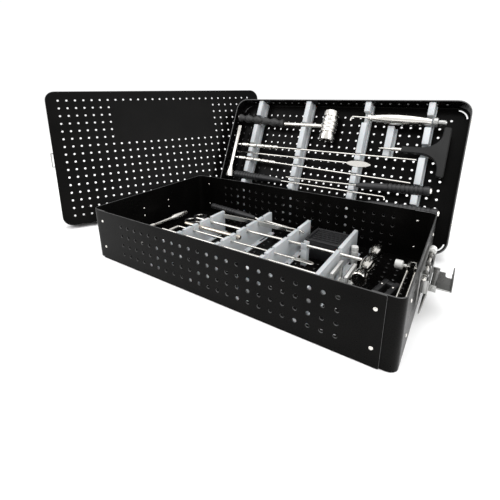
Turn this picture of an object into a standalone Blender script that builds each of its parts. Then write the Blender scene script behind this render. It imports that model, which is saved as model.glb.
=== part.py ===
"""Instrument tray set: a perforated base tray, an insert tray full of instruments and a lid.

The base tray stands on the ground. The insert tray stands on its long edge behind it and leans
back, and the lid stands the same way behind the base's left end. Metres, +Z up. The origin is on
the base tray's underside, below the middle of its punched holes, which stand a little nearer its
right end. +X runs along its long side to the right and +Y to its rear.
"""

from math import atan2, cos, hypot, pi, radians, sin

import bmesh
import bpy
from mathutils import Matrix, Vector

SHEET = 0.0015  # thickness of the folded sheet that all three shells are made of
GAP = 0.0003  # air between two pieces that touch

BASE_LENGTH, BASE_WIDTH, BASE_HEIGHT = 0.4585, 0.258, 0.081
BASE_MIDDLE = -0.0048  # x of the middle of the base tray
BASE_CORNER = 0.010  # outer radius of the base tray's upright corners
PANEL_HALF = 0.2133  # half length of the front and rear panels
WRAP_REACH = 0.199  # how near the middle the end wraps' legs come

INSERT_LOW, INSERT_HIGH = (-0.219, -0.1195), (0.230, 0.129)  # x and z of the shell's two corners
INSERT_DEPTH, INSERT_CORNER = 0.030, 0.022
INSERT_LEAN = radians(25.2)
INSERT_PLACE = (0.0133, 0.2114)  # x and y of the insert's own origin, on the back of its floor

LID_LENGTH, LID_HEIGHT, LID_DEPTH = 0.456, 0.262, 0.025
LID_CORNER = 0.018
LID_TURN, LID_LEAN = radians(58.9), radians(17.0)
LID_PLACE = (-0.2985, 0.1114)  # x and y of the middle of the lid's outer face

BASE_RAILS = {"a": (-0.119, 0.059), "b": (-0.041, 0.100), "c": (0.036, 0.100), "d": (0.117, 0.100)}
BASE_RAIL_FRONT, BASE_RAIL_TOP, BASE_RAIL_WIDTH = -0.112, 0.041, 0.006
BASE_AXIS = 0.033  # height of the axes of the instruments laid in the base tray

INSERT_RAILS = {"a": -0.160, "b": -0.049, "c": 0.068, "d": 0.172}
INSERT_RAIL_TOP, INSERT_RAIL_WIDTH = 0.026, 0.010
INSERT_AXIS = 0.022  # height of the insert's instruments over its floor

LATCH_PIN = (0.23405, 0.058)  # x and z of the lever's hinge pin, from the base tray's middle
HOOK_PIN = (0.24285, 0.0418)  # x and z of the hook plate's hinge pin
PIN_RADIUS, PIN_BORE = 0.0017, 0.0020

BLACK, SILICONE = "black_anodised", "blue_grey_silicone"
STEEL, POLYMER, NICKEL = "polished_steel", "black_polymer", "satin_steel"
FINISHES = {
    BLACK: ((0.018, 0.018, 0.020), 0.42, 0.6),
    SILICONE: ((0.62, 0.68, 0.72), 0.55, 0.0),
    STEEL: ((0.72, 0.71, 0.69), 0.22, 1.0),
    POLYMER: ((0.012, 0.012, 0.013), 0.45, 0.0),
    NICKEL: ((0.58, 0.58, 0.57), 0.35, 1.0),
}


# Scene set-up: empty file, one collection for the pieces and one for the helpers.

for old in list(bpy.data.objects):
    bpy.data.objects.remove(old)

parts = bpy.data.collections.new("instrument_tray")
helpers = bpy.data.collections.new("cutters")
for collection in (parts, helpers):
    bpy.context.scene.collection.children.link(collection)

materials = {}
for finish, (colour, roughness, metallic) in FINISHES.items():
    materials[finish] = bpy.data.materials.new(finish)
    materials[finish].use_nodes = True
    shader = materials[finish].node_tree.nodes["Principled BSDF"].inputs
    shader["Base Color"].default_value = (*colour, 1)
    shader["Roughness"].default_value = roughness
    shader["Metallic"].default_value = metallic


# Placing and making pieces.

def place_frame(name, matrix):
    """An empty that carries the pieces of one shell."""
    frame = bpy.data.objects.new(name, None)
    frame.matrix_world = matrix
    parts.objects.link(frame)
    return frame


base = place_frame("base_frame", Matrix())
lean = Matrix.Rotation(-INSERT_LEAN, 4, "X")
origin_height = -INSERT_LOW[1] * cos(INSERT_LEAN)
insert = place_frame("insert_frame", Matrix.Translation((*INSERT_PLACE, origin_height)) @ lean)
lean = Matrix.Rotation(LID_TURN, 4, "Z") @ Matrix.Rotation(-LID_LEAN, 4, "X")
middle_height = LID_HEIGHT / 2 * cos(LID_LEAN) + LID_DEPTH * sin(LID_LEAN)
lid = place_frame("lid_frame", Matrix.Translation((*LID_PLACE, middle_height)) @ lean)
right_end = place_frame("right_end_frame", Matrix.Translation((BASE_MIDDLE, 0, 0)))
left_end = place_frame("left_end_frame", Matrix.Translation((BASE_MIDDLE, 0, 0)) @ Matrix.Rotation(pi, 4, "Z"))


def add(name, data, finish, frame, local):
    """Links a piece under its frame. A piece with no finish is a helper and isn't part of the set."""
    piece = bpy.data.objects.new(name, data)
    (parts if finish else helpers).objects.link(piece)
    piece.parent = frame
    piece.matrix_local = local
    if finish:
        data.materials.append(materials[finish])
    else:
        piece.hide_render = True
        piece.display_type = "WIRE"
    return piece


def mesh_from(name, bm):
    mesh = bpy.data.meshes.new(name)
    bm.to_mesh(mesh)
    bm.free()
    return mesh


def block(name, finish, frame, low, high, origin=(0, 0, 0)):
    """A box between two corners, with its origin moved to the given point."""
    low, high, origin = Vector(low), Vector(high), Vector(origin)
    bm = bmesh.new()
    bmesh.ops.create_cube(bm, size=1)
    bmesh.ops.scale(bm, vec=high - low, verts=bm.verts)
    bmesh.ops.translate(bm, vec=(low + high) / 2 - origin, verts=bm.verts)
    return add(name, mesh_from(name, bm), finish, frame, Matrix.Translation(origin))


def along(start, end):
    """The matrix that puts local Z on the line from start to end, with its origin at start."""
    start, end = Vector(start), Vector(end)
    turn = (end - start).to_track_quat("Z", "Y").to_matrix().to_4x4()
    return Matrix.Translation(start) @ turn


def rod(name, finish, frame, start, end, radius, sides=12):
    """A straight round bar."""
    length = (Vector(end) - Vector(start)).length
    bm = bmesh.new()
    bmesh.ops.create_cone(bm, cap_ends=True, segments=sides, radius1=radius, radius2=radius, depth=length)
    bmesh.ops.translate(bm, vec=(0, 0, length / 2), verts=bm.verts)
    return add(name, mesh_from(name, bm), finish, frame, along(start, end))


def turned(name, finish, frame, start, end, profile, sides=14):
    """A lathe-turned piece. The profile is (distance from start, radius), and its ends lie on the axis."""
    points = [(profile[-1][0], 0), *reversed(profile), (profile[0][0], 0)]
    bm = bmesh.new()
    chain = [bm.verts.new((radius, 0, height)) for height, radius in points]
    for first, second in zip(chain, chain[1:]):
        bm.edges.new((first, second))
    piece = add(name, mesh_from(name, bm), finish, frame, along(start, end))
    spin = piece.modifiers.new("spin", "SCREW")
    spin.steps = spin.render_steps = sides
    spin.use_merge_vertices = True
    spin.merge_threshold = 0.00001
    return piece


def wire(name, finish, frame, points, radius):
    """A round wire bent through the points."""
    curve = bpy.data.curves.new(name, "CURVE")
    curve.dimensions = "3D"
    spline = curve.splines.new("POLY")
    spline.points.add(len(points) - 1)
    for point, place in zip(spline.points, points):
        point.co = (*place, 1)
    curve.bevel_depth = radius
    curve.bevel_resolution = 2
    curve.use_fill_caps = True
    return add(name, curve, finish, frame, Matrix())


def plate(name, finish, frame, outline, thickness, local):
    """A flat plate cut to an outline. It lies in local XY, with half its thickness on each side."""
    curve = bpy.data.curves.new(name, "CURVE")
    curve.dimensions = "2D"
    curve.fill_mode = "BOTH"
    curve.extrude = thickness / 2
    spline = curve.splines.new("POLY")
    spline.points.add(len(outline) - 1)
    for point, (x, y) in zip(spline.points, outline):
        point.co = (x, y, 0, 1)
    spline.use_cyclic_u = True
    return add(name, curve, finish, frame, local)


def combine(piece, operation, *others):
    """Joins helpers to a piece, or cuts them from it."""
    for other in others:
        step = piece.modifiers.new(other.name, "BOOLEAN")
        step.operation = operation
        step.object = other


def rounded(half_x, half_y, radius, steps=5):
    """A rectangle with round corners, anticlockwise from its right edge."""
    points = []
    corners = ((1, 1, 0), (-1, 1, 1), (-1, -1, 2), (1, -1, 3))
    for side_x, side_y, quarter in corners:
        for step in range(steps + 1):
            angle = (quarter + step / steps) * pi / 2
            x = side_x * (half_x - radius) + radius * cos(angle)
            y = side_y * (half_y - radius) + radius * sin(angle)
            points.append((x, y))
    return points


def open_box(name, finish, frame, low, high, depth, radius):
    """A drawn tray: floor in local XZ with its face at y = 0, and walls that reach depth along Y."""
    bm = bmesh.new()
    half_x, half_z = (high[0] - low[0]) / 2, (high[1] - low[1]) / 2
    outline = rounded(half_x, half_z, radius)
    rim = [bm.verts.new((x + low[0] + half_x, 0, z + low[1] + half_z)) for x, z in outline]
    floor = bm.faces.new(rim)
    raised = bmesh.ops.extrude_edge_only(bm, edges=list(floor.edges))["geom"]
    walls = [v for v in raised if isinstance(v, bmesh.types.BMVert)]
    bmesh.ops.translate(bm, vec=(0, depth, 0), verts=walls)
    bmesh.ops.recalc_face_normals(bm, faces=bm.faces)
    piece = add(name, mesh_from(name, bm), finish, frame, Matrix())
    wall = piece.modifiers.new("sheet", "SOLIDIFY")
    wall.thickness = SHEET
    wall.offset = -1
    wall.use_even_offset = True
    return piece


# Base tray: floor, two flat panels and two U-shaped end wraps riveted behind the panels.

half_length, half_width = BASE_LENGTH / 2, BASE_WIDTH / 2
wrap_half_width = half_width - SHEET - GAP
floor_margin = SHEET + GAP
floor_outline = rounded(half_length - floor_margin, wrap_half_width - floor_margin, BASE_CORNER - floor_margin)
plate("base_floor", BLACK, right_end, floor_outline, SHEET, Matrix.Translation((0, 0, SHEET / 2)))

for name, side in (("front_panel", -1), ("rear_panel", 1)):
    faces = sorted((side * half_width, side * (half_width - SHEET)))
    block(name, BLACK, right_end, (-PANEL_HALF, faces[0], 0), (PANEL_HALF, faces[1], BASE_HEIGHT))

for name, frame in (("right_end_wrap", right_end), ("left_end_wrap", left_end)):
    bm = bmesh.new()
    outline = rounded(half_length, wrap_half_width, BASE_CORNER)
    steps = len(outline) // 4
    bend = [(WRAP_REACH, -wrap_half_width)] + outline[-steps:] + outline[:steps]
    bend.append((WRAP_REACH, wrap_half_width))
    chain = [bm.verts.new((x, y, 0)) for x, y in bend]
    edges = [bm.edges.new(pair) for pair in zip(chain, chain[1:])]
    raised = bmesh.ops.extrude_edge_only(bm, edges=edges)["geom"]
    tops = [v for v in raised if isinstance(v, bmesh.types.BMVert)]
    bmesh.ops.translate(bm, vec=(0, 0, BASE_HEIGHT), verts=tops)
    wrap = add(name, mesh_from(name, bm), BLACK, frame, Matrix())
    wall = wrap.modifiers.new("sheet", "SOLIDIFY")
    wall.thickness = SHEET
    wall.offset = 1
    wall.use_even_offset = True


# Instruments: where each lies along its tray (x), across it (s), and how thick it is.
# Each is (start x, start s, end x, end s, half width), and the rails are notched to suit.

HAMMER_ROD = (-0.150, 0.019, 0.1497, 0.019, 0.0025)
BLADE_ROD = (-0.150, -0.027, 0.070, -0.027, 0.0015)
GUIDE_ROD = (-0.165, -0.050, 0.112, -0.050, 0.0020)
SHEATH = (-0.150, -0.010, -0.033, -0.010, 0.0035)
FLAT_BLADE = (-0.110, 0.050, 0.046, 0.056, 0.0015)
DISSECTOR_ROD = (-0.060, 0.076, 0.018, 0.067, 0.0015)
BASE_LAID = (HAMMER_ROD, BLADE_ROD, GUIDE_ROD, SHEATH, FLAT_BLADE, DISSECTOR_ROD)

MALLET_GRIP = (-0.2087, 0.088, -0.094, 0.0785, 0.0092)
MALLET_SHAFT = (-0.094, 0.0785, -0.0125, 0.0777, 0.0040)
RETRACTOR = (0.072, 0.0978, 0.178, 0.0937, 0.0097)
RETRACTOR_TIP = (0.0426, 0.0990, 0.072, 0.0978, 0.0016)
T_NECK = (0.138, 0.043, 0.194, 0.043, 0.0110)
PROBES = {
    "a": (-0.196, 0.0275, 0.164, 0.0275, 0.0015),
    "b": (-0.196, 0.0105, 0.051, 0.0105, 0.0015),
    "c": (-0.196, -0.0020, 0.162, -0.0126, 0.0015),
}
PROBE_GRIPS = {"a": -0.097, "c": -0.095}  # where the textured grip of each probe ends
GRIP_RADIUS = 0.0042
PADDLE = (0.050, 0.0105, 0.093, 0.0105, 0.0060)
DISSECTORS = {
    "a": ((-0.187, -0.0395, -0.073, -0.0405, 0.0078), (-0.073, -0.0405, 0.126, -0.0416, 0.0015)),
    "b": ((0.194, -0.0216, 0.076, -0.0283, 0.0078), (0.076, -0.0283, -0.064, -0.0312, 0.0015)),
    "c": ((0.210, -0.0555, 0.096, -0.0574, 0.0078), (0.096, -0.0574, -0.045, -0.0562, 0.0015)),
}


def grip_of(probe):
    """The stretch of a probe that its textured grip covers."""
    x0, s0, x1, s1, _ = PROBES[probe]
    end = PROBE_GRIPS[probe]
    return (x0, s0, end, s0 + (s1 - s0) * (end - x0) / (x1 - x0), GRIP_RADIUS)


INSERT_LAID = (MALLET_GRIP, MALLET_SHAFT, RETRACTOR, RETRACTOR_TIP, T_NECK, *PROBES.values())
INSERT_LAID += (grip_of("a"), grip_of("c"), PADDLE)
INSERT_LAID += tuple(line for pair in DISSECTORS.values() for line in pair)


def rail_outline(rail_x, rail_width, low, high, top, axis, laid):
    """A rail's side view: a bar from low to high, with an open slot for each instrument over it."""
    slots = []
    for x0, s0, x1, s1, radius in laid:
        reach = rail_width / 2 + GAP
        if rail_x + reach < min(x0, x1) or rail_x - reach > max(x0, x1):
            continue
        share = min(max((rail_x - x0) / (x1 - x0), 0), 1)
        middle = s0 + share * (s1 - s0)
        half = radius + 2 * GAP + abs((s1 - s0) / (x1 - x0)) * reach
        slots.append([middle - half, middle + half, axis - radius - GAP])
    slots = sorted(slot for slot in slots if low < slot[0] and slot[1] < high)
    merged = []
    for slot in slots:
        if merged and slot[0] < merged[-1][1] + 2 * GAP:
            merged[-1][1] = max(merged[-1][1], slot[1])
            merged[-1][2] = min(merged[-1][2], slot[2])
        else:
            merged.append(slot)
    outline = [(low, GAP), (high, GAP), (high, top)]
    for start, end, bottom in reversed(merged):
        outline += [(end, top), (end, bottom), (start, bottom), (start, top)]
    return outline + [(low, top)]


# Rails: silicone-clad combs that stand across each tray and hold the instruments in their slots.

upright = Matrix(((0, 0, 1, 0), (1, 0, 0, 0), (0, 1, 0, 0), (0, 0, 0, 1)))  # outline X to Y, Y to Z
for letter, (x, rear) in BASE_RAILS.items():
    shape = (BASE_RAIL_WIDTH, BASE_RAIL_FRONT, rear, BASE_RAIL_TOP - SHEET, BASE_AXIS - SHEET)
    outline = rail_outline(x, *shape, BASE_LAID)
    local = Matrix.Translation((x, 0, SHEET)) @ upright
    plate(f"base_rail_{letter}", SILICONE, base, outline, BASE_RAIL_WIDTH, local)

facing = Matrix(((0, 0, 1, 0), (0, -1, 0, 0), (1, 0, 0, 0), (0, 0, 0, 1)))  # outline X to Z, Y to -Y
rail_low, rail_high = INSERT_LOW[1] + SHEET + GAP, INSERT_HIGH[1] - SHEET - GAP
for letter, x in INSERT_RAILS.items():
    shape = (INSERT_RAIL_WIDTH, rail_low, rail_high, INSERT_RAIL_TOP, INSERT_AXIS)
    outline = rail_outline(x, *shape, INSERT_LAID)
    local = Matrix.Translation((x, -SHEET, 0)) @ facing
    plate(f"insert_rail_{letter}", SILICONE, insert, outline, INSERT_RAIL_WIDTH, local)

STOP_LOW, STOP_HIGH = 0.031, 0.086  # the short rail that carries the T-handle's shaft
block(
    "insert_short_rail",
    SILICONE,
    insert,
    (0.108, -SHEET - 0.0180, STOP_LOW),
    (0.119, -SHEET - GAP, STOP_HIGH),
)


# Shells that lift off: the insert tray and the lid, with a strap at each end of the lid.

lid_corner = Vector((LID_LENGTH / 2, LID_HEIGHT / 2))
open_box("insert_shell", BLACK, insert, INSERT_LOW, INSERT_HIGH, -INSERT_DEPTH, INSERT_CORNER)
open_box("lid_shell", BLACK, lid, -lid_corner, lid_corner, LID_DEPTH, LID_CORNER)

STRAP_HALF, STRAP_RISE, STRAP_WIDTH, STRAP_SHEET = 0.014, 0.005, 0.010, 0.0015
for name, side in (("right_lid_strap", 1), ("left_lid_strap", -1)):
    x = LID_LENGTH / 2 + GAP
    out, inner = x + STRAP_RISE, x + STRAP_RISE - STRAP_SHEET
    foot, step = STRAP_HALF, STRAP_HALF - STRAP_SHEET
    outline = [(x, -foot), (out, -foot), (out, foot), (x, foot), (x, step), (inner, step)]
    outline += [(inner, -step), (x, -step)]
    outline = [(side * px, pz) for px, pz in outline]
    local = Matrix.Translation((0, 0.013, 0)) @ Matrix.Rotation(pi / 2, 4, "X")
    plate(name, NICKEL, lid, outline, STRAP_WIDTH, local)


# Latches: a riveted plate with two ears, a channel-shaped lever on a pin through the ears, a hook
# plate on a second pin through the lever's lugs, and a torsion spring round the first pin.

PLATE_HALF, PLATE_LOW, PLATE_HIGH, PLATE_SHEET = 0.040, 0.026, 0.066, 0.0015
EAR_MIDDLE, EAR_HALF, EAR_RADIUS = 0.0325, 0.0008, 0.0030
LEVER_HALF, LEVER_LOW, LEVER_HIGH = 0.038, 0.014, 0.057
FLANGE_RADIUS = 0.0026  # round end of the lever's flanges, which turns clear of the latch plate
WEB_INNER, WEB_OUTER = 0.23755, 0.23905
HOOK_HALF, HOOK_REACH, HOOK_SHEET = 0.022, 0.26125, 0.0015
LUG_HALF = 0.0008
SPRING_HALF, SPRING_RADIUS = 0.014, 0.0027


def bore(name, frame, place, radius, half):
    """A cutter for a pin hole along Y."""
    x, z = place
    return rod(name, None, frame, (x, -half, z), (x, half, z), radius, sides=16)


def side_boxes(name, frame, middle, half, low, high):
    """Two helper boxes, one on each side of the latch's middle plane."""
    boxes = []
    for side in (-1, 1):
        ys = sorted((side * (middle - half), side * (middle + half)))
        corners = (low[0], ys[0], low[1]), (high[0], ys[1], high[1])
        boxes.append(block(f"{name}_{side}", None, frame, *corners))
    return boxes


def side_discs(name, frame, place, radius, middle, half):
    """Two short round bars along Y, one on each side of the latch's middle plane."""
    x, z = place
    discs = []
    for side in (-1, 1):
        start, end = (x, side * (middle - half), z), (x, side * (middle + half), z)
        discs.append(rod(f"{name}_{side}", None, frame, start, end, radius, sides=16))
    return discs


for end, frame in (("right", right_end), ("left", left_end)):
    wall = half_length + GAP
    face = wall + PLATE_SHEET
    pin_x, pin_z = LATCH_PIN
    hook_x, hook_z = HOOK_PIN
    low, high = (wall, -PLATE_HALF, PLATE_LOW), (face, PLATE_HALF, PLATE_HIGH)
    back = block(f"{end}_latch_plate", NICKEL, frame, low, high)
    ear_low, ear_high = (wall + GAP, pin_z - EAR_RADIUS), (pin_x, pin_z + EAR_RADIUS)
    ears = side_boxes(f"{end}_ear", frame, EAR_MIDDLE, EAR_HALF, ear_low, ear_high)
    ears += side_discs(f"{end}_ear_end", frame, LATCH_PIN, EAR_RADIUS, EAR_MIDDLE, EAR_HALF - GAP / 4)
    combine(back, "UNION", *ears)
    combine(back, "DIFFERENCE", bore(f"{end}_ear_bore", frame, LATCH_PIN, PIN_BORE, 0.05))
    pin_half = LEVER_HALF + SHEET
    rod(f"{end}_latch_pin", STEEL, frame, (pin_x, -pin_half, pin_z), (pin_x, pin_half, pin_z), PIN_RADIUS)
    low, high = (WEB_INNER, -LEVER_HALF, LEVER_LOW), (WEB_OUTER, LEVER_HALF, LEVER_HIGH)
    lever = block(f"{end}_latch_lever", NICKEL, frame, low, high, (pin_x, 0, pin_z))
    sides = (face + 2 * GAP, LEVER_LOW + GAP), (WEB_INNER + 2 * GAP, LEVER_HIGH - GAP)
    flange_middle = LEVER_HALF - SHEET / 2 - GAP
    flange = side_boxes(f"{end}_flange", frame, flange_middle, SHEET / 2, *sides)
    flange += side_discs(f"{end}_flange_end", frame, LATCH_PIN, FLANGE_RADIUS, flange_middle, SHEET / 2 - GAP / 4)
    lug_low, lug_high = (WEB_OUTER - GAP, hook_z - 0.004), (hook_x + 0.0035, hook_z + 0.004)
    lugs = side_boxes(f"{end}_lug", frame, HOOK_HALF + 2 * GAP + LUG_HALF, LUG_HALF, lug_low, lug_high)
    pin_half = HOOK_HALF + 0.003
    ends = (hook_x, -pin_half, hook_z), (hook_x, pin_half, hook_z)
    hook_pin = rod(f"{end}_hook_pin", None, frame, *ends, PIN_RADIUS)
    combine(lever, "UNION", *flange, *lugs, hook_pin)
    combine(lever, "DIFFERENCE", bore(f"{end}_lever_bore", frame, LATCH_PIN, PIN_BORE, 0.05))
    coil = ((pin_x, -SPRING_HALF, pin_z), (pin_x, SPRING_HALF, pin_z))
    spring = rod(f"{end}_latch_spring", STEEL, frame, *coil, SPRING_RADIUS)
    combine(spring, "DIFFERENCE", bore(f"{end}_spring_bore", frame, LATCH_PIN, PIN_BORE, 0.05))
    top = hook_z + HOOK_SHEET / 2
    low, high = (hook_x, -HOOK_HALF, top - HOOK_SHEET), (HOOK_REACH, HOOK_HALF, top)
    hook = block(f"{end}_hook_plate", NICKEL, frame, low, high, (hook_x, 0, hook_z))
    ends = (hook_x, -HOOK_HALF, hook_z), (hook_x, HOOK_HALF, hook_z)
    barrel = rod(f"{end}_barrel", None, frame, *ends, PIN_BORE + 0.0012, sides=16)
    lip_low, lip_high = (HOOK_REACH - HOOK_SHEET, -0.012, top - GAP), (HOOK_REACH, 0.012, top + 0.009)
    lip = block(f"{end}_lip", None, frame, lip_low, lip_high)
    combine(hook, "UNION", barrel, lip)
    combine(hook, "DIFFERENCE", bore(f"{end}_hook_bore", frame, HOOK_PIN, PIN_BORE, 0.03))


# Base tray's own fittings: a ribbed storage box and a small clamp bracket.

block("storage_box", POLYMER, base, (0.054, 0.042, SHEET + GAP), (0.109, 0.094, 0.033))
frame_low, frame_high = (0.125, -0.038, SHEET + GAP), (0.147, 0.004, 0.033)
bracket = block("clamp_bracket", NICKEL, base, frame_low, frame_high)
window = block("bracket_window", None, base, (0.120, -0.032, 0.010), (0.150, -0.002, 0.027))
trough = block("bracket_trough", None, base, (0.129, -0.050, 0.006), (0.143, 0.010, 0.040))
combine(bracket, "DIFFERENCE", window, trough)


# Instruments in the base tray.

def lay(name, finish, line, height=BASE_AXIS):
    """A straight rod laid along the base tray."""
    x0, y0, x1, y1, radius = line
    return rod(name, finish, base, (x0, y0, height), (x1, y1, height), radius)


lay("hammer_rod", STEEL, HAMMER_ROD)
WEIGHT = [(0, 0.0070), (0.001, 0.0095), (0.012, 0.0095), (0.020, 0.0070), (0.030, 0.0075), (0.038, 0.0088)]
WEIGHT += [(0.056, 0.0088), (0.066, 0.0070), (0.074, 0.0068), (0.080, 0.0088), (0.090, 0.0098)]
WEIGHT += [(0.099, 0.0080), (0.102, 0.0040)]
weight_x = HAMMER_ROD[2] + 0.0098
ends = (weight_x, -0.035, BASE_AXIS), (weight_x, 0.067, BASE_AXIS)
turned("hammer_weight", STEEL, base, *ends, WEIGHT)

x, y = BLADE_ROD[2:4]
blade = lay("blade_rod", STEEL, BLADE_ROD)
low, high = (x - 0.004, y - 0.004, BASE_AXIS - 0.001), (x + 0.028, y + 0.004, BASE_AXIS + 0.001)
combine(blade, "UNION", block("blade_tip", None, base, low, high))
lay("guide_rod", STEEL, GUIDE_ROD)
lay("sheath_tube", STEEL, SHEATH)

x0, y0, x1, y1, half = FLAT_BLADE
BLADE_LOW, BLADE_HIGH = -0.0015, 0.0065  # the flat blade stands on edge, from and to these heights
length = hypot(x1 - x0, y1 - y0)
outline = [(0, BLADE_LOW), (length - 0.008, BLADE_LOW), (length, 0.0015), (length, 0.0035)]
outline += [(length - 0.008, BLADE_HIGH), (0, BLADE_HIGH)]
turn = Matrix.Rotation(atan2(y1 - y0, x1 - x0), 4, "Z") @ Matrix.Rotation(pi / 2, 4, "X")
local = Matrix.Translation((x0, y0, BASE_AXIS)) @ turn
plate("flat_retractor", STEEL, base, outline, 2 * half, local)

x0, y0, x1, y1 = DISSECTOR_ROD[:4]
lay("long_dissector_rod", STEEL, DISSECTOR_ROD)
GRIP = [(0, 0.0045), (0.002, 0.0056), (0.090, 0.0056), (0.112, 0.0033)]
towards = Vector((x0 - x1, y0 - y1, 0)).normalized()
start = Vector((x0, y0, BASE_AXIS)) + towards * (0.112 + GAP)
turned("long_dissector_grip", POLYMER, base, start, (x0, y0, BASE_AXIS), GRIP)

TROCAR = [(0, 0.0030), (0.001, 0.0042), (0.040, 0.0042), (0.046, 0.0030), (0.080, 0.0030)]
TROCAR += [(0.090, 0.0048), (0.120, 0.0048), (0.123, 0.0030)]
turned("trocar", STEEL, base, (-0.203, -0.080, 0.028), (-0.198, 0.043, 0.028), TROCAR)

clamp_low, clamp_high = (-0.011, -0.042, 0.012), (0.011, 0.042, 0.021)
clamp_turn = Matrix.Translation((0.184, -0.033, 0)) @ Matrix.Rotation(radians(-12), 4, "Z")
clamp = block("black_clamp", POLYMER, base, clamp_low, clamp_high)
slot = block("clamp_slot", None, base, (-0.003, -0.030, 0.005), (0.003, 0.032, 0.030))
clamp.matrix_local = clamp_turn @ clamp.matrix_local
slot.matrix_local = clamp_turn @ slot.matrix_local
combine(clamp, "DIFFERENCE", slot)

body = block("ratchet_tool", STEEL, base, (0.2030, 0.030, 0.020), (0.2165, 0.052, 0.034))
slot = block("ratchet_slot", None, base, (0.2070, 0.020, 0.010), (0.2125, 0.046, 0.040))
combine(body, "DIFFERENCE", slot)
for x in (0.2050, 0.2145):
    combine(body, "UNION", rod(f"ratchet_rod_{x}", None, base, (x, -0.100, 0.027), (x, 0.034, 0.027), 0.0014))
KNOB = [(0, 0.0050), (0.001, 0.0062), (0.010, 0.0062), (0.011, 0.0020), (0.0147, 0.0020)]
turned("ratchet_knob", NICKEL, base, (0.1878, 0.041, 0.029), (0.203, 0.041, 0.029), KNOB)


# Instruments in the insert tray. Each lies parallel to the floor, at one height over it.

TOOL_Y = -SHEET - INSERT_AXIS
FACING = Matrix.Rotation(pi / 2, 4, "X")  # turns a flat outline to face out of a tray's floor


def across(x, z, y=TOOL_Y):
    return (x, y, z)


def hold(name, finish, line):
    """A straight rod held in the insert tray."""
    x0, z0, x1, z1, radius = line
    rod(name, finish, insert, across(x0, z0), across(x1, z1), radius)


SCALLOPS, GRIP_LENGTH = 5, 0.112
SCALLOPED = [(0, 0.0045), (0.002, 0.0085)]
for step in range(1, 4 * SCALLOPS):
    share = step / (4 * SCALLOPS)
    SCALLOPED.append((share * GRIP_LENGTH, 0.0073 + 0.0017 * cos(2 * pi * SCALLOPS * share)))
SCALLOPED += [(GRIP_LENGTH, 0.0078), (GRIP_LENGTH + 0.002, 0.0045)]
x0, z0, x1, z1 = MALLET_GRIP[:4]
turned("mallet_grip", POLYMER, insert, across(x0, z0), across(x1, z1), SCALLOPED)
x0, z0, x1, z1, radius = MALLET_SHAFT
hold("mallet_shaft", STEEL, (x0 + 0.001, z0, x1, z1, radius))
HEAD_HALF, HEAD_RADIUS, GROOVE = 0.029, 0.0145, 0.0008
HEAD = [(0, HEAD_RADIUS - GROOVE), (0.001, HEAD_RADIUS)]
for middle in (0.012, 0.015, 0.043, 0.046):
    HEAD += [(middle - 0.001, HEAD_RADIUS), (middle - 0.0005, HEAD_RADIUS - GROOVE)]
    HEAD += [(middle + 0.0005, HEAD_RADIUS - GROOVE), (middle + 0.001, HEAD_RADIUS)]
HEAD += [(2 * HEAD_HALF - 0.001, HEAD_RADIUS), (2 * HEAD_HALF, HEAD_RADIUS - GROOVE)]
head_x = MALLET_SHAFT[2] + GAP + HEAD_RADIUS
ends = across(head_x, z1 - HEAD_HALF), across(head_x, z1 + HEAD_HALF)
turned("mallet_head", STEEL, insert, *ends, HEAD, sides=24)

SPINDLE = [(0, 0.0032), (0.001, 0.0062), (0.006, 0.0062), (0.008, 0.0055), (0.030, 0.0082)]
SPINDLE += [(0.052, 0.0095), (0.080, 0.0080), (0.104, 0.0052)]
x0, z0, x1, z1 = RETRACTOR[:4]
turned("retractor_grip", STEEL, insert, across(x0, z0), across(x1, z1), SPINDLE)
COLLAR = [(0, 0.0070), (0.001, 0.0083), (0.007, 0.0083), (0.008, 0.0045), (0.018, 0.0045), (0.020, 0.0025)]
turned("retractor_screw", NICKEL, insert, across(x1 + GAP, z1), across(x1 + 0.021, z1 - 0.0008), COLLAR)
x0, z0, x1, z1, radius = RETRACTOR_TIP
hook = [across(x0 - 0.002, z0 - 0.008), across(x0 - 0.001, z0 - 0.002), across(x0 + 0.002, z0)]
wire("retractor_hook", STEEL, insert, hook + [across(x1 - GAP, z1)], radius)

T_MIDDLE, T_HALF, T_X, T_BAR_HALF = 0.043, 0.0415, 0.2008, 0.0068
NECK_END, NECK_HALF, T_THICK = 0.1385, 0.0055, 0.011
outline = [(T_X + T_BAR_HALF, -T_HALF + 0.004), (T_X + T_BAR_HALF, T_HALF - 0.004), (T_X + 0.003, T_HALF)]
outline += [(T_X - 0.004, T_HALF), (T_X - T_BAR_HALF, T_HALF - 0.004)]
SWEEP = [(0.25, 0.0200), (0.5, 0.0125), (0.75, 0.0085), (1, 0.0070)]
sweep_end = 0.166
fillet = [(T_X - T_BAR_HALF + (sweep_end - T_X + T_BAR_HALF) * share, half) for share, half in SWEEP]
outline += [(x, half) for x, half in fillet] + [(NECK_END, NECK_HALF), (NECK_END, -NECK_HALF)]
outline += [(x, -half) for x, half in reversed(fillet)]
outline += [(T_X - T_BAR_HALF, -T_HALF + 0.004), (T_X - 0.004, -T_HALF), (T_X + 0.003, -T_HALF)]
plate("t_handle", POLYMER, insert, outline, T_THICK, Matrix.Translation(across(0, T_MIDDLE)) @ FACING)
T_SHAFT = [(0, 0.0010), (0.004, 0.0016), (0.020, 0.0016), (0.022, 0.0032), (0.0365, 0.0032)]
ends = across(0.1015, T_MIDDLE), across(NECK_END - GAP, T_MIDDLE)
turned("t_handle_shaft", STEEL, insert, *ends, T_SHAFT)

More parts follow.
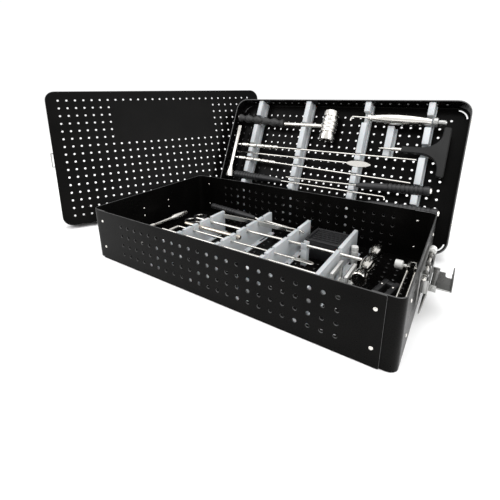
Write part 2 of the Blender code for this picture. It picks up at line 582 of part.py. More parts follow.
PADDLE_THICK = 0.0024
for letter, (x0, z0, x1, z1, radius) in PROBES.items():
    ends = across(x0, z0), across(x1, z1)
    length = (Vector(ends[1]) - Vector(ends[0])).length
    profile = [(0, radius * 0.7), (0.001, radius), (length - 0.001, radius), (length, radius * 0.7)]
    if letter in PROBE_GRIPS:
        grip_end = (PROBE_GRIPS[letter] - x0) / (x1 - x0) * length
        profile[2:2] = [(0.006, 0.0022), (0.010, GRIP_RADIUS), (grip_end - 0.003, GRIP_RADIUS)]
        profile[5:5] = [(grip_end, 0.0022), (grip_end + 0.001, radius)]
    probe = turned(f"probe_{letter}", STEEL, insert, *ends, profile)
    if letter == "b":
        bm = bmesh.new()
        bmesh.ops.create_cone(bm, cap_ends=True, segments=24, radius1=1, radius2=1, depth=PADDLE_THICK)
        start, z, end, _, half = PADDLE
        bmesh.ops.scale(bm, vec=((end - start) / 2, half, 1), verts=bm.verts)
        middle = Matrix.Translation(across((start + end) / 2, z)) @ FACING
        combine(probe, "UNION", add("probe_paddle", mesh_from("probe_paddle", bm), None, insert, middle))

for letter, (grip, shaft) in DISSECTORS.items():
    x0, z0, x1, z1, radius = grip
    length = hypot(x1 - x0, z1 - z0)
    profile = [(0, 0.0055), (0.002, radius), (0.030, radius), (0.034, 0.0068), (0.075, 0.0068)]
    profile += [(length - 0.012, 0.0058), (length, 0.0034)]
    turned(f"dissector_{letter}_grip", POLYMER, insert, across(x0, z0), across(x1, z1), profile)
    x0, z0, x1, z1, radius = shaft
    step = GAP if x1 > x0 else -GAP
    if letter == "a":
        tip = [across(x1 + 0.001, z1 - 0.0055), across(x1, z1 - 0.001), across(x1 - 0.002, z1)]
        wire("dissector_a_rod", STEEL, insert, [across(x0 + step, z0)] + tip[::-1], radius)
    else:
        hold(f"dissector_{letter}_rod", STEEL, (x0 + step, z0, x1, z1, radius))

bar = [(-0.2075, 0.070), (-0.2070, -0.022), (-0.2105, -0.046), (-0.1925, -0.046), (-0.1985, -0.022)]
bar += [(-0.1990, 0.070)]
plate("bent_lever", STEEL, insert, bar, 0.003, Matrix.Translation(across(0, 0)) @ FACING)
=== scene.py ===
"""Looks of an instrument tray set: perforated base tray, insert tray and lid, and the instruments."""

from math import cos, pi, radians, sin, tau

import bmesh
import bpy
from mathutils import Matrix, Vector


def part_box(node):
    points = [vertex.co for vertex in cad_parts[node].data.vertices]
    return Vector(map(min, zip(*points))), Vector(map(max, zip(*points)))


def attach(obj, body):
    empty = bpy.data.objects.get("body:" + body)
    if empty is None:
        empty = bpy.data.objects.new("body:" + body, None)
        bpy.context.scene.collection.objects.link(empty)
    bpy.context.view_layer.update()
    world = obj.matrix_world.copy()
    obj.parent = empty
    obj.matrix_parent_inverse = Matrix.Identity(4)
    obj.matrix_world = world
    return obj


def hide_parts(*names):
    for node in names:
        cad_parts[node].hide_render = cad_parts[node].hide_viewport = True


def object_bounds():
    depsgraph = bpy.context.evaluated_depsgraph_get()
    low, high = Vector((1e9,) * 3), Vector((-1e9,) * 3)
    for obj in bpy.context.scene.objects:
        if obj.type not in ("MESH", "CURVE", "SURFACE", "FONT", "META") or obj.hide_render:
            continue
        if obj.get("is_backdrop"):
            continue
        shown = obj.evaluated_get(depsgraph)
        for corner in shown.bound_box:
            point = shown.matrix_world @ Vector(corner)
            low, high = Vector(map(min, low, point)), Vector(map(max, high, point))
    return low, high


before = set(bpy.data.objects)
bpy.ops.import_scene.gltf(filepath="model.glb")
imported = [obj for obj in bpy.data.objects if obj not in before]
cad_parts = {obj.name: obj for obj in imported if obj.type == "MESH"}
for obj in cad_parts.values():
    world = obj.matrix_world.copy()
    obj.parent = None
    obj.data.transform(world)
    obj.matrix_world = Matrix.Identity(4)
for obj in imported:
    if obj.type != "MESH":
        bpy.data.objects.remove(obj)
cad_low, cad_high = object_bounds()


# The studio: a plain white floor, an even white sky and three soft lights. The camera stands in
# front of the base tray's right end and looks down on it a little.

scene = bpy.context.scene
camera_data = bpy.data.cameras.new("camera")
camera_data.lens, camera_data.sensor_width = 24.106, 36
camera_data.shift_x, camera_data.shift_y = -0.0004, -0.1065
camera_data.clip_start = 0.01
scene.camera = bpy.data.objects.new("camera", camera_data)
scene.camera.location = (0.2484, -0.4069, 0.2528)
scene.camera.rotation_euler = (radians(72.641), radians(0.486), radians(33.273))
scene.collection.objects.link(scene.camera)
scene.view_settings.view_transform = "Standard"

sky = bpy.data.worlds.new("sky")
sky.use_nodes = True
sky.node_tree.nodes["Background"].inputs["Color"].default_value = (1, 1, 1, 1)
sky.node_tree.nodes["Background"].inputs["Strength"].default_value = 1.03
scene.world = sky

LIGHTS = {  # place, size and power of each soft light, all aimed at the middle of the set
    "overhead": ((0.1, -0.2, 1.5), 1.4, 12),
    "left": ((-1.1, -0.9, 0.9), 0.9, 7),
    "right": ((1.2, -0.4, 0.8), 0.9, 7),
}
for name, (place, size, power) in LIGHTS.items():
    data = bpy.data.lights.new(name, "AREA")
    data.size, data.energy = size, power
    light = bpy.data.objects.new(name, data)
    aim = (Vector((0, 0.05, 0.08)) - Vector(place)).to_track_quat("-Z", "Y")
    light.matrix_world = Matrix.Translation(place) @ aim.to_matrix().to_4x4()
    scene.collection.objects.link(light)

FLOOR_HALF, FLOOR_LEVEL = 6, -0.0006  # a hair under the trays, so that no two faces coincide
bm = bmesh.new()
bmesh.ops.create_grid(bm, x_segments=1, y_segments=1, size=FLOOR_HALF)
bmesh.ops.translate(bm, vec=(0, 0, FLOOR_LEVEL), verts=bm.verts)
floor_mesh = bpy.data.meshes.new("floor")
bm.to_mesh(floor_mesh)
bm.free()
floor = bpy.data.objects.new("floor", floor_mesh)
scene.collection.objects.link(floor)
paper = bpy.data.materials.new("paper")
paper.use_nodes = True
paper.node_tree.nodes["Principled BSDF"].inputs["Base Color"].default_value = (1.0, 1.0, 1.0, 1)
paper.node_tree.nodes["Principled BSDF"].inputs["Roughness"].default_value = 0.9
floor_mesh.materials.append(paper)
floor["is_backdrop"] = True


# Base tray: sheet aluminium, punched on an even grid, folded and anodised black. The anodising is
# a satin black with a faint grain. Two U-shaped ends are riveted behind the flat front and rear.

SHEET = 0.0015  # thickness of the sheet
GAP = 0.0003  # play between pieces that don't touch
PITCH, HOLE = 0.015, 0.0020  # spacing and radius of the punched holes
PANEL_HOLE, WALL_HOLE = 0.0024, 0.0019  # radii in the base tray's panels and the insert's walls
CREASE = radians(38)  # edges that turn by more than this stay sharp


def finish(name, dark, light, roughness, metallic=0.0, grain=(300, 300, 300), bump=0.1, **sockets):
    """A surface whose colour drifts from dark to light, with a fine grain in its gloss and relief."""
    made = bpy.data.materials.new(name)
    made.use_nodes = True
    tree = made.node_tree
    shader = tree.nodes["Principled BSDF"]
    shader.inputs["Metallic"].default_value = metallic
    for socket, value in sockets.items():
        shader.inputs[socket.replace("_", " ")].default_value = value
    place = tree.nodes.new("ShaderNodeTexCoord")
    cloud = tree.nodes.new("ShaderNodeTexNoise")
    cloud.inputs["Scale"].default_value = 22
    cloud.inputs["Detail"].default_value = 5
    tree.links.new(place.outputs["Object"], cloud.inputs["Vector"])
    ramp = tree.nodes.new("ShaderNodeValToRGB")
    ramp.color_ramp.elements[0].position, ramp.color_ramp.elements[0].color = 0.3, (*dark, 1)
    ramp.color_ramp.elements[1].position, ramp.color_ramp.elements[1].color = 0.7, (*light, 1)
    tree.links.new(cloud.outputs["Fac"], ramp.inputs["Fac"])
    tree.links.new(ramp.outputs["Color"], shader.inputs["Base Color"])
    stretch = tree.nodes.new("ShaderNodeMapping")
    stretch.inputs["Scale"].default_value = grain
    tree.links.new(place.outputs["Object"], stretch.inputs["Vector"])
    fine = tree.nodes.new("ShaderNodeTexNoise")
    fine.inputs["Scale"].default_value = 1
    fine.inputs["Detail"].default_value = 3
    tree.links.new(stretch.outputs["Vector"], fine.inputs["Vector"])
    gloss = tree.nodes.new("ShaderNodeMapRange")
    gloss.inputs["From Min"].default_value, gloss.inputs["From Max"].default_value = 0.3, 0.7
    gloss.inputs["To Min"].default_value = roughness * 0.85
    gloss.inputs["To Max"].default_value = roughness * 1.15
    tree.links.new(fine.outputs["Fac"], gloss.inputs["Value"])
    tree.links.new(gloss.outputs["Result"], shader.inputs["Roughness"])
    relief = tree.nodes.new("ShaderNodeBump")
    relief.inputs["Strength"].default_value = bump
    relief.inputs["Distance"].default_value = 0.0003
    tree.links.new(fine.outputs["Fac"], relief.inputs["Height"])
    tree.links.new(relief.outputs["Normal"], shader.inputs["Normal"])
    return made


anodised = finish("anodised", (0.0016, 0.0015, 0.0014), (0.0032, 0.0030, 0.0028), 0.28, bump=0.02,
                  grain=(900, 900, 900), Specular_IOR_Level=0.05)
# The cut faces, rims and hole walls get a lighter, more metallic black than the faces: a painted highlight
# along the rims and round the holes.
edge_highlight = finish("edge_highlight", (0.05, 0.05, 0.05), (0.09, 0.09, 0.09), 0.35, 0.6)


def rounded(half_x, half_y, radius, steps=8, stub=0.0):
    """A rectangle with round corners, anticlockwise. A stub starts each straight side."""
    points = []
    for quarter, (side_x, side_y) in enumerate(((1, 1), (-1, 1), (-1, -1), (1, -1))):
        centre = Vector((side_x * (half_x - radius), side_y * (half_y - radius)))
        for step in range(steps + 1):
            angle = (quarter + step / steps) * pi / 2
            point = centre + radius * Vector((cos(angle), sin(angle)))
            along_side = stub * Vector((-sin(angle), cos(angle)))
            if stub and step == 0:
                points.append(point - along_side)
            points.append(point)
            if stub and step == steps:
                points.append(point + along_side)
    return points


def hole(x, y, radius=HOLE, sides=12):
    """A round hole, clockwise."""
    turns = [-tau * step / sides for step in range(sides)]
    return [(x + radius * cos(turn), y + radius * sin(turn)) for turn in turns]


def slot_hole(y, half_x, half_y):
    """A slot with round ends and its middle at (0, y), clockwise."""
    ends = rounded(half_x, half_y, min(half_x, half_y), 4)[::-1]
    return [(px, py + y) for px, py in ends]


def grid(columns, rows, keep=lambda column, row: True, middle=(0, 0)):
    """The punched holes of one sheet, centred on its middle."""
    holes = []
    for column in range(columns):
        for row in range(rows):
            if keep(column, row):
                x = middle[0] + (column - (columns - 1) / 2) * PITCH
                holes.append(hole(x, middle[1] + (row - (rows - 1) / 2) * PITCH))
    return holes


def punched(outline, holes, thickness, rim=0.0):
    """A flat sheet in XY, its middle at z = 0, cut to an outline and punched. Cut faces are slot 1."""
    curve = bpy.data.curves.new("blank", "CURVE")
    curve.dimensions, curve.fill_mode = "2D", "BOTH"
    curve.extrude, curve.bevel_depth, curve.offset = thickness / 2 - rim, rim, -rim
    curve.bevel_resolution = 0
    for loop in (outline, *holes):
        spline = curve.splines.new("POLY")
        spline.points.add(len(loop) - 1)
        for point, (x, y) in zip(spline.points, loop):
            point.co = (x, y, 0, 1)
        spline.use_cyclic_u = True
    blank = bpy.data.objects.new("blank", curve)
    mesh = bpy.data.meshes.new_from_object(blank)
    bm = bmesh.new()
    bm.from_mesh(mesh)
    bpy.data.objects.remove(blank)
    bpy.data.curves.remove(curve)
    bpy.data.meshes.remove(mesh)
    bmesh.ops.remove_doubles(bm, verts=bm.verts, dist=1e-6)
    bm.normal_update()
    for face in bm.faces:
        face.material_index = int(abs(face.normal.z) < 0.9)
    return bm


def joined(*parts):
    """One bmesh out of several, each with the matrix that puts it in place."""
    whole = bmesh.new()
    for part, place in parts:
        part.transform(place)
        mesh = bpy.data.meshes.new("part")
        part.to_mesh(mesh)
        part.free()
        whole.from_mesh(mesh)
        bpy.data.meshes.remove(mesh)
    return whole


def fit(name, bm, body, finishes, stands_for=(), place=None):
    """Finishes a piece: puts it in place, marks its creases and hangs it on the body it moves with."""
    if place is not None:
        bm.transform(place)
    bmesh.ops.recalc_face_normals(bm, faces=bm.faces)
    for edge in bm.edges:
        edge.smooth = edge.calc_face_angle(0) < CREASE
    for face in bm.faces:
        face.smooth = True
    mesh = bpy.data.meshes.new(name)
    bm.to_mesh(mesh)
    bm.free()
    for surface in finishes:
        mesh.materials.append(surface)
    piece = bpy.data.objects.new(name, mesh)
    scene.collection.objects.link(piece)
    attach(piece, body)
    if stands_for:
        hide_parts(*stands_for)


# Anodised faces, and the painted edge highlight on cut faces, rims and hole walls.
SKIN = (anodised, edge_highlight)
BASE_HALF, BASE_HALF_WIDTH, BASE_HEIGHT, BASE_CORNER = 0.22925, 0.129, 0.081, 0.010
BASE_MIDDLE = -0.0048  # the punched holes stand a little nearer the right end
PANEL_HALF, WRAP_REACH = 0.2133, 0.199
margin = SHEET + GAP
wrap_half = BASE_HALF_WIDTH - margin
outline = rounded(BASE_HALF - margin, wrap_half - margin, BASE_CORNER - margin)
bm = punched(outline, grid(28, 15, middle=(-BASE_MIDDLE, 0)), SHEET)
place = Matrix.Translation((BASE_MIDDLE, 0, SHEET / 2))
fit("base_bottom", bm, "base_tray", SKIN, ["base_floor"], place)

STAND = Matrix.Rotation(pi / 2, 4, "X")  # turns a sheet in XY to stand in XZ
PANEL_ROWS = (0.019, 0.034, 0.049, 0.064)
PANEL_COLUMNS = [(column - 11) * PITCH for column in range(23)]
for name, node, side in (("base_front", "front_panel", -1), ("base_rear", "rear_panel", 1)):
    middle = BASE_HEIGHT / 2
    holes = [hole(x - BASE_MIDDLE, z - middle, PANEL_HOLE) for x in PANEL_COLUMNS for z in PANEL_ROWS]
    bm = punched(rounded(PANEL_HALF, middle, 0.0015, 3), holes, SHEET, 0.0002)
    place = Matrix.Translation((BASE_MIDDLE, side * (BASE_HALF_WIDTH - SHEET / 2), middle)) @ STAND
    fit(name, bm, "base_tray", SKIN, [node], place)

right_end = Matrix.Translation((BASE_MIDDLE, 0, 0))
TURN_END = {"right": right_end, "left": right_end @ Matrix.Rotation(pi, 4, "Z")}
for end, turn in TURN_END.items():
    outer = rounded(BASE_HALF, wrap_half, BASE_CORNER, 12)
    inner = rounded(BASE_HALF - SHEET, wrap_half - SHEET, BASE_CORNER - SHEET, 12)
    bend = [(WRAP_REACH, -wrap_half)] + outer[-13:] + outer[:13] + [(WRAP_REACH, wrap_half)]
    back = [(WRAP_REACH, wrap_half - SHEET)] + inner[:13][::-1] + inner[-13:][::-1]
    back.append((WRAP_REACH, -wrap_half + SHEET))
    bm = punched(bend + back, [], BASE_HEIGHT, 0.0003)
    # The rims of the end walls take the lighter black of the painted edge highlight.
    for face in bm.faces:
        face.material_index = int(abs(face.normal.z) > 0.1)
    place = turn @ Matrix.Translation((0, 0, BASE_HEIGHT / 2))
    fit(f"base_{end}_end", bm, "base_tray", SKIN, [f"{end}_end_wrap"], place)


# Rivets: they hold the front and rear panels and the latch plates to the folded ends. Each is a
# steel rivet with a low, bright dome at either face of the sheet.

steel = finish("steel", (0.62, 0.60, 0.56), (0.76, 0.74, 0.70), 0.15, 1.0, (300, 300, 300), 0.0)
RIVET, RIVET_RISE = 0.0022, 0.0009
PANEL_RIVET = 0.2045  # from the middle of the base tray to the rivets of its panels
PLATE = 0.0018  # thickness of a latch plate with its play


def rivet_head(place, *halves):
    """A round head of a rivet, half_x by half_y by half_z, with the matrix that puts it in place."""
    bm = bmesh.new()
    bmesh.ops.create_uvsphere(bm, u_segments=12, v_segments=8, radius=1)
    return bm, place @ Matrix.Diagonal((*halves, 1))


facing_y, facing_x = [], []
for side in (-1, 1):
    x = BASE_MIDDLE + side * PANEL_RIVET
    facing_y += [(x, -BASE_HALF_WIDTH, z) for z in (0.021, 0.064)]
    facing_y += [(x, BASE_HALF_WIDTH, z) for z in (0.020, 0.064)]
    facing_y += [(x, wide * (wrap_half - SHEET), z) for wide in (-1, 1) for z in (0.021, 0.064)]
    inner, outer = BASE_MIDDLE + side * (BASE_HALF - SHEET), BASE_MIDDLE + side * BASE_HALF
    for y in (-0.030, 0.030):
        for z in (0.037, 0.051):
            facing_x += [(inner, y, z), (outer + side * PLATE, y, z)]
    facing_x += [(outer, y, z) for y in (-0.092, 0.092) for z in (0.021, 0.061)]
parts = [rivet_head(Matrix.Translation(spot), RIVET, RIVET_RISE, RIVET) for spot in facing_y]
parts += [rivet_head(Matrix.Translation(spot), RIVET_RISE, RIVET, RIVET) for spot in facing_x]
fit("base_rivets", joined(*parts), "base_tray", [steel])


# Rails of the base tray: sheet combs clad in pale blue-grey silicone. Each is fixed to the floor by
# a slotted flange and has a foot at its front end. The instruments lie in the combs' slots.

silicone = finish("silicone", (0.42, 0.44, 0.455), (0.52, 0.54, 0.555), 0.48, 0.0, (500, 500, 500), 0.1,
                  Subsurface_Weight=0.08, Subsurface_Scale=0.002)


def softened(node, width, segments=2):
    """A copy of a node's solid with its sharp edges rounded off."""
    bm = bmesh.new()
    bm.from_mesh(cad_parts[node].data)
    bmesh.ops.remove_doubles(bm, verts=bm.verts, dist=1e-5)
    bmesh.ops.dissolve_limit(bm, angle_limit=radians(1), verts=bm.verts, edges=bm.edges)
    sharp = [edge for edge in bm.edges if edge.calc_face_angle(0) > radians(35)]
    bmesh.ops.bevel(bm, geom=sharp, offset=width, segments=segments, profile=0.5, affect="EDGES",
                    material=-1, clamp_overlap=True)
    for face in bm.faces:
        face.material_index = 0
    return bm


def block(low, high, soften=0.0004):
    """A block with rounded edges between two corners."""
    low, high = Vector(low), Vector(high)
    bm = bmesh.new()
    bmesh.ops.create_cube(bm, size=1)
    bmesh.ops.scale(bm, vec=high - low, verts=bm.verts)
    bmesh.ops.translate(bm, vec=(low + high) / 2, verts=bm.verts)
    bmesh.ops.bevel(bm, geom=bm.edges[:], offset=soften, segments=2, profile=0.5, affect="EDGES",
                    material=-1)
    return bm


FLANGE_WIDTH, FLANGE_THICK, FLANGE_LEVEL = 0.009, 0.0016, 0.0026
FLANGE_SHORT = 0.004  # how far the flange stops short of each end of its rail
FLANGE_LAP = 0.0008  # how far the flange runs into the comb
FOOT_LONG, FOOT_HIGH = 0.014, 0.0085
for letter in "abcd":
    node = f"base_rail_{letter}"
    low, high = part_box(node)
    half = (high.y - low.y) / 2 - FLANGE_SHORT
    slots = [slot_hole(share * half, 0.0022, 0.013) for share in (-0.68, 0, 0.68)]
    flange = punched(rounded(FLANGE_WIDTH / 2, half, 0.002, 3), slots, FLANGE_THICK, 0.0002)
    x = high.x + FLANGE_WIDTH / 2 - FLANGE_LAP
    place = Matrix.Translation((x, (low.y + high.y) / 2, FLANGE_LEVEL))
    foot_y = low.y + 0.002
    foot = block((low.x - 0.003, foot_y - FOOT_LONG, SHEET), (high.x + 0.006, foot_y, FOOT_HIGH), 0.0008)
    bm = joined((softened(node, 0.0007), Matrix()), (flange, place), (foot, Matrix()))
    fit(f"base_comb_{letter}", bm, "base_tray", [silicone, silicone], [node])


# Insert tray: a drawn tray of the same punched and anodised sheet. It leans back on its long edge.
# Each corner of its floor has a curved drain slot, and its walls have one row of holes.

INSERT_HALF, INSERT_HALF_HEIGHT, INSERT_DEPTH, INSERT_CORNER = 0.2245, 0.12425, 0.030, 0.022
INSERT_LEAN = radians(25.2)
GRID_X, GRID_Z = -0.0055, -0.00475  # the middle of the holes, from the middle of the tray
insert_place = Matrix.Translation((0.0133, 0.2114, (INSERT_HALF_HEIGHT + GRID_Z) * cos(INSERT_LEAN)))
insert_place = insert_place @ Matrix.Rotation(-INSERT_LEAN, 4, "X")
BEND = 0.003  # radius of the bend between floor and walls
STUB = 0.001  # the short edge that starts and ends each straight side of an outline
FLOOR_AREA, WALL_AREA = 0.01, 0.002  # a face larger than this is the floor, or a wall's straight part


def drawn_tray(half_x, half_y, depth, corner, holes, wall_holes):
    """A tray with its floor's back face at z = 0 and its walls up to z = depth.

    The bends are drawn first. The floor and, where they have holes, the walls are punched sheets
    that take the place of the plain faces between the bends.
    """
    bm = bmesh.new()
    chain = [bm.verts.new((x, y, 0)) for x, y in rounded(half_x, half_y, corner, 8, STUB)]
    base = bm.faces.new(chain)
    raised = bmesh.ops.extrude_edge_only(bm, edges=list(base.edges))["geom"]
    tops = [v for v in raised if isinstance(v, bmesh.types.BMVert)]
    bmesh.ops.translate(bm, vec=(0, 0, depth), verts=tops)
    bmesh.ops.bevel(bm, geom=list(base.edges), offset=BEND, segments=5, profile=0.5,
                    affect="EDGES", material=-1)
    bmesh.ops.recalc_face_normals(bm, faces=bm.faces)
    gone = [face for face in bm.faces if face.calc_area() > FLOOR_AREA]
    if wall_holes:
        straight = [face for face in bm.faces if abs(face.normal.z) < 0.01 and face not in gone]
        gone += [face for face in straight if face.calc_area() > WALL_AREA]
    bmesh.ops.delete(bm, geom=gone, context="FACES_ONLY")
    bmesh.ops.solidify(bm, geom=bm.faces, thickness=SHEET)
    bm.normal_update()
    # The top rim takes the lighter black of the painted edge highlight.
    for face in bm.faces:
        face.material_index = int(face.calc_center_median().z > depth - 0.00001)
    sheet = punched(rounded(half_x - BEND, half_y - BEND, corner - BEND, 8, STUB), holes, SHEET)
    parts = [(bm, Matrix()), (sheet, Matrix.Translation((0, 0, SHEET / 2)))]
    if wall_holes:
        height = (depth - BEND) / 2
        row = depth / 2 - BEND - height
        for turn in range(4):
            half, reach = ((half_x, half_y), (half_y, half_x))[turn % 2]
            side = half - corner - STUB
            count = int(2 * side / PITCH)
            marks = [hole((n - (count - 1) / 2) * PITCH, row, WALL_HOLE) for n in range(count)]
            edge = [(-side, -height), (side, -height), (side, height), (-side, height)]
            place = Matrix.Rotation(turn * pi / 2, 4, "Z")
            place = place @ Matrix.Translation((0, SHEET / 2 - reach, BEND + height)) @ STAND
            parts.append((punched(edge, marks, SHEET), place))
    return joined(*parts)


DRAIN, DRAIN_HALF = 0.0165, 0.0011  # radius of a drain slot's middle line, and half its width


def drain(side_x, side_y):
    """A curved slot round one corner of the insert's floor, clockwise."""
    start = {(1, 1): 0, (-1, 1): 1, (-1, -1): 2, (1, -1): 3}[side_x, side_y] * pi / 2
    angles = [start + radians(8 + 74 * step / 8) for step in range(9)]
    outer = [(DRAIN + DRAIN_HALF) * Vector((cos(a), sin(a))) for a in angles]
    inner = [(DRAIN - DRAIN_HALF) * Vector((cos(a), sin(a))) for a in angles]
    centre = Vector((side_x * (INSERT_HALF - INSERT_CORNER), side_y * (INSERT_HALF_HEIGHT - INSERT_CORNER)))
    return [centre + p for p in (inner + outer[::-1])]


SHELL_AXES = Matrix(((1, 0, 0, 0), (0, 0, -1, 0), (0, 1, 0, 0), (0, 0, 0, 1)))  # floor in XZ, depth to -Y
holes = grid(28, 15, middle=(GRID_X, GRID_Z)) + [drain(x, y) for x in (-1, 1) for y in (-1, 1)]
bm = drawn_tray(INSERT_HALF, INSERT_HALF_HEIGHT, INSERT_DEPTH, INSERT_CORNER, holes, True)
fit("insert_tray_shell", bm, "insert_tray", SKIN, ["insert_shell"],
    insert_place @ Matrix.Translation((-GRID_X, 0, -GRID_Z)) @ SHELL_AXES)

spots = [(x, -INSERT_DEPTH / 2, z) for x in (-0.219, 0.230) for z in (-0.068, 0.058, 0.100)]
parts = [rivet_head(insert_place @ Matrix.Translation(spot), 0.0014, 0.0024, 0.0024) for spot in spots]
fit("insert_rivets", joined(*parts), "insert_tray", [steel])

INSERT_RAILS = {"a": -0.160, "b": -0.049, "c": 0.068, "d": 0.172}
RAIL_FOOT_HALF = 0.0060
half = INSERT_HALF_HEIGHT - SHEET - GAP - 0.001
low_z, high_z = -GRID_Z - half, -GRID_Z + half
for letter, x in INSERT_RAILS.items():
    node = f"insert_rail_{letter}"
    low = (x + 0.0053, -SHEET - 0.0095, low_z)
    ridge = block(low, (x + 0.0071, -SHEET - GAP, high_z), 0.0006)
    low = (x - RAIL_FOOT_HALF, -SHEET - 0.0022, low_z)
    foot = block(low, (x + RAIL_FOOT_HALF, -SHEET - GAP, high_z), 0.0004)
    bm = joined((softened(node, 0.0012), Matrix()), (ridge, insert_place), (foot, insert_place))
    fit(f"insert_comb_{letter}", bm, "insert_tray", [silicone, silicone], [node])
flange = punched(rounded(0.0020, 0.027, 0.001, 2), [], FLANGE_THICK, 0.0002)
place = Matrix.Translation((0.1205, -SHEET - GAP - FLANGE_THICK / 2, 0.0585)) @ STAND
bm = joined((softened("insert_short_rail", 0.0008), Matrix()), (flange, insert_place @ place))
fit("insert_short_comb", bm, "insert_tray", [silicone, silicone], ["insert_short_rail"])


# Lid: drawn from the same sheet, with a plain field where the holes leave off and a low skirt all
# round. At each end a small steel strap is fixed for the latch to hook into.

LID_HALF, LID_HALF_HEIGHT, LID_DEPTH, LID_CORNER = 0.228, 0.131, 0.025, 0.018
LID_TURN, LID_LEAN = radians(58.9), radians(17.0)
middle = LID_HALF_HEIGHT * cos(LID_LEAN) + LID_DEPTH * sin(LID_LEAN)
lid_place = Matrix.Translation((-0.2985, 0.1114, middle))
lid_place = lid_place @ Matrix.Rotation(LID_TURN, 4, "Z") @ Matrix.Rotation(-LID_LEAN, 4, "X")
LID_AXES = Matrix(((1, 0, 0, 0), (0, 0, 1, 0), (0, -1, 0, 0), (0, 0, 0, 1)))  # depth to +Y, rows down


def off_field(column, row):
    """Whether a hole of the lid lies outside the plain field."""
    return not (7 <= column <= 20 and 1 <= row <= 5)


holes = grid(28, 16, off_field, (-0.0035, 0))
bm = drawn_tray(LID_HALF, LID_HALF_HEIGHT, LID_DEPTH, LID_CORNER, holes, False)
fit("lid_cover", bm, "lid", SKIN, ["lid_shell"], lid_place @ LID_AXES)
satin = finish("satin", (0.34, 0.34, 0.33), (0.46, 0.46, 0.45), 0.32, 1.0, (500, 500, 60), 0.04)
for end in TURN_END:
    node = f"{end}_lid_strap"
    fit(f"lid_{end}_strap", softened(node, 0.0004), "lid", [satin], [node])


# Latches: a riveted plate, a bent lever that swings up on a steel pin with a white barrel at one
# end, coil springs round the pin, and a hook plate on the lever that catches the lid's strap.

pin_x, pin_z = 0.23405, 0.058  # the lever's pin, with x from the middle of the base tray
hook_x, hook_z = 0.24285, 0.0418  # the hook's pin
PIN_HALF, PIN_RADIUS = 0.0398, 0.0017
SPRINGS = (-0.024, 0, 0.024)
LEVER_WIDTH = 0.076
CHEEK, EAR = (0.0364, 0.0378), (0.0226, 0.0242)  # inner and outer faces of the lever's sides and ears
LEAF_HALF, HOOK_LONG, LIP_HIGH = 0.0218, 0.0184, 0.0098


def wire(points, radius, roundness=2):
    """A round wire bent through the points."""
    curve = bpy.data.curves.new("wire", "CURVE")
    curve.dimensions = "3D"
    curve.bevel_depth, curve.bevel_resolution = radius, roundness
    curve.use_fill_caps = True
    spline = curve.splines.new("POLY")
    spline.points.add(len(points) - 1)
    for point, place in zip(spline.points, points):
        point.co = (*place, 1)
    strand = bpy.data.objects.new("wire", curve)
    mesh = bpy.data.meshes.new_from_object(strand)
    bm = bmesh.new()
    bm.from_mesh(mesh)
    bpy.data.objects.remove(strand)
    bpy.data.curves.remove(curve)
    bpy.data.meshes.remove(mesh)
    bmesh.ops.remove_doubles(bm, verts=bm.verts, dist=1e-6)
    return bm


def coil(centre, radius, half, turns, leg):
    """A torsion spring round a line along Y, with a leg down each side."""
    x, y, z = centre
    steps = turns * 12
    points = [(x + radius, y - half, z - leg)]
    for step in range(steps + 1):
        angle = tau * step / 12
        wound = y - half + 2 * half * step / steps
        points.append((x + radius * cos(angle), wound, z + radius * sin(angle)))
    return points + [(x + radius, y + half, z - leg)]


def turned(profile, segments=28):
    """A piece turned on a lathe, standing on Z. The profile is (height, radius) from its foot up."""
    bm = bmesh.new()
    points = [(profile[0][0], 0), *profile, (profile[-1][0], 0)]
    chain = [bm.verts.new((radius, 0, height)) for height, radius in points]
    edges = [bm.edges.new(pair) for pair in zip(chain, chain[1:])]
    bmesh.ops.spin(bm, geom=chain + edges, axis=(0, 0, 1), cent=(0, 0, 0), angle=tau, steps=segments,
                   use_merge=True)
    bmesh.ops.remove_doubles(bm, verts=bm.verts, dist=1e-6)
    return bm


def along(start, end):
    """The matrix that stands a piece on start and points its Z at end."""
    start, end = Vector(start), Vector(end)
    return Matrix.Translation(start) @ (end - start).to_track_quat("Z", "Y").to_matrix().to_4x4()


def bar(start, end, radius):
    """A round bar with a small chamfer at each end."""
    length = (Vector(end) - Vector(start)).length
    edge = min(radius * 0.3, 0.0004)
    profile = [(0, radius - edge), (edge, radius), (length - edge, radius), (length, radius - edge)]
    bm = turned(profile, 20)
    bm.transform(along(start, end))
    return bm


def sleeve(loop):
    """A tube turned on a lathe, standing on Z, from a loop of (height, radius) corners."""
    bm = bmesh.new()
    chain = [bm.verts.new((radius, 0, height)) for height, radius in loop]
    edges = [bm.edges.new(pair) for pair in zip(chain, chain[1:] + chain[:1])]
    bmesh.ops.spin(bm, geom=chain + edges, axis=(0, 0, 1), cent=(0, 0, 0), angle=tau, steps=24,
                   use_merge=True)
    bmesh.ops.remove_doubles(bm, verts=bm.verts, dist=1e-6)
    return bm


